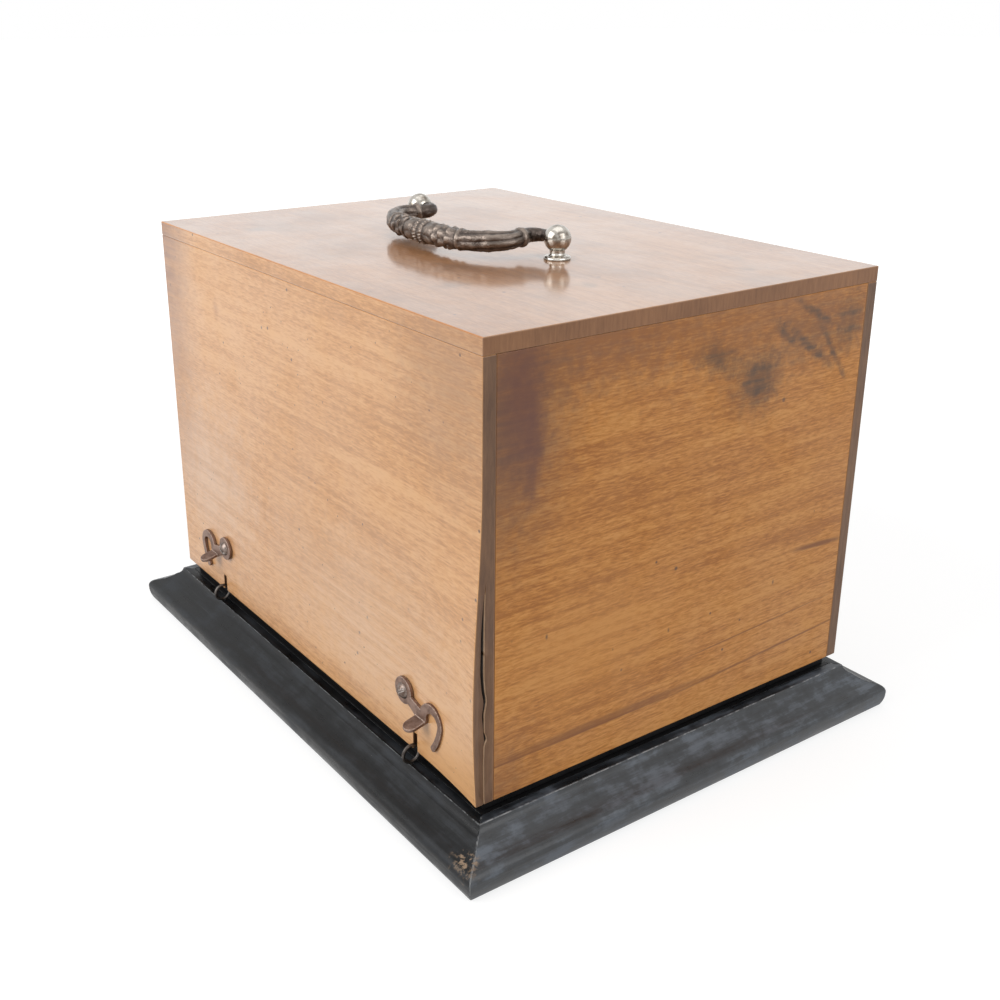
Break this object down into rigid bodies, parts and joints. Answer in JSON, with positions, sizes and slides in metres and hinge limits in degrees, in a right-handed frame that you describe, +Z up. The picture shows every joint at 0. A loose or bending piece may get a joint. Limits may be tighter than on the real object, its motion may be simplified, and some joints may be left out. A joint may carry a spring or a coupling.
{
  "type": "magic lantern",
  "caption": "Oil-lit slide projector with a rack-focused lens, under a lift-off varnished wooden cover with a bail handle, turn hooks and a black moulded base.",
  "frame": {"origin": "bottom centre of the base, on the surface that it stands on", "axes": "+X along the case towards the lens, +Z up, the hooks seen in the picture on the -Y side"},
  "size_m": [0.421, 0.327, 0.3045],
  "materials": {
    "varnished_wood": "worn clear varnish",
    "black_wood": "satin black stain",
    "brown_iron": "browned",
    "cast_bail": "bronzed casting",
    "nickel": "polished nickel",
    "japanned_sheet": "black japan",
    "brass": "lacquered",
    "clear_glass": "clear",
    "silvered": "silvered",
    "cotton": "woven"
  },
  "bodies": {
    "base": {"base_board": "black_wood", "base_platform": "black_wood", "chimney_crown": "japanned_sheet", "chimney_pipe": "japanned_sheet", "condenser_barrel": "brass", "condenser_lenses": "clear_glass", "condenser_rings": "brass", "door_hinge": "japanned_sheet", "house_feet": "brass", "house_floor": "japanned_sheet", "house_roof": "japanned_sheet", "house_wall_front": "japanned_sheet", "house_wall_left": "japanned_sheet", "house_wall_rear": "japanned_sheet", "house_wall_right": "japanned_sheet", "moulding_front": "black_wood", "moulding_left": "black_wood", "moulding_rear": "black_wood", "moulding_right": "black_wood", "objective_jacket": "brass", "screw_eyes": "brown_iron", "stage_plate_front": "japanned_sheet", "stage_plate_rear": "japanned_sheet", "stage_rails": "japanned_sheet", "stage_screws": "brass", "stage_springs": "brass"},
    "cover": {"cover_top": "varnished_wood", "cover_side_left": "varnished_wood", "cover_side_right": "varnished_wood", "cover_end_front": "varnished_wood", "cover_end_rear": "varnished_wood", "corner_blocks": "varnished_wood", "handle_posts": "nickel", "handle_nuts": "brown_iron", "hook_screws": "brown_iron"},
    "handle": {"handle_bail": "cast_bail"},
    "door": {"lamp_door": "japanned_sheet", "door_knob": "brass"},
    "lamp": {"lamp_tray": "japanned_sheet", "lamp_reservoir": "brass", "filler_cap": "brass", "burner": "brass", "lamp_glass": "clear_glass", "reflector": "silvered"},
    "wick_spindle": {"wick_knob": "brass"},
    "wick": {"wick": "cotton"},
    "carrier": {"slide_carrier": "varnished_wood", "glass_slides": "clear_glass"},
    "objective": {"draw_tube": "brass", "lens_hood": "brass", "objective_lenses": "clear_glass", "focus_rack": "brass"},
    "pinion": {"focus_pinion": "brass", "focus_knobs": "brass"},
    "hook_left_front": {"hook_left_front": "brown_iron"},
    "hook_left_rear": {"hook_left_rear": "brown_iron"},
    "hook_right_front": {"hook_right_front": "brown_iron"},
    "hook_right_rear": {"hook_right_rear": "brown_iron"}
  },
  "joints": [
    {"name": "cover_lift", "type": "slide", "parent": "base", "child": "cover", "axis": [0, 0, 1], "range_m": [0, 0.3]},
    {"name": "handle_swing", "type": "hinge", "parent": "cover", "child": "handle", "pos_m": [0, 0, 0.2965], "axis": [-1, 0, 0], "range_deg": [0, 186]},
    {"name": "door_swing", "type": "hinge", "parent": "base", "child": "door", "pos_m": [-0.098, -0.0614, 0.1], "axis": [0, 0, -1], "range_deg": [0, 100]},
    {"name": "lamp_slide", "type": "slide", "parent": "base", "child": "lamp", "axis": [-1, 0, 0], "range_m": [0, 0.038]},
    {"name": "wick_turn", "type": "hinge", "parent": "lamp", "child": "wick_spindle", "pos_m": [-0.125, 0.012, 0.0862], "axis": [-1, 0, 0], "range_deg": [0, 115]},
    {"name": "wick_raise", "type": "slide", "parent": "lamp", "child": "wick", "axis": [0, 0, 1], "range_m": [0, 0.0071]},
    {"name": "carrier_slide", "type": "slide", "parent": "base", "child": "carrier", "axis": [0, -1, 0], "range_m": [0, 0.062]},
    {"name": "focus_slide", "type": "slide", "parent": "base", "child": "objective", "axis": [1, 0, 0], "range_m": [-0.008, 0.024]},
    {"name": "focus_turn", "type": "hinge", "parent": "base", "child": "pinion", "pos_m": [0.07718, 0, 0.15695], "axis": [0, -1, 0], "range_deg": [-80, 235]},
    {"name": "hook_left_front_turn", "type": "hinge", "parent": "cover", "child": "hook_left_front", "pos_m": [0.115, -0.139, 0.0695], "axis": [0, 1, 0], "range_deg": [-100, 51]},
    {"name": "hook_left_rear_turn", "type": "hinge", "parent": "cover", "child": "hook_left_rear", "pos_m": [-0.115, -0.139, 0.0695], "axis": [0, -1, 0], "range_deg": [-100, 51]},
    {"name": "hook_right_front_turn", "type": "hinge", "parent": "cover", "child": "hook_right_front", "pos_m": [0.115, 0.139, 0.0695], "axis": [0, 1, 0], "range_deg": [-100, 51]},
    {"name": "hook_right_rear_turn", "type": "hinge", "parent": "cover", "child": "hook_right_rear", "pos_m": [-0.115, 0.139, 0.0695], "axis": [0, -1, 0], "range_deg": [-100, 51]}
  ],
  "couplings": [
    {"joint": "focus_turn", "follows": "focus_slide", "rad_per_m": 166.67},
    {"joint": "wick_raise", "follows": "wick_turn", "m_per_rad": 0.0035}
  ]
}
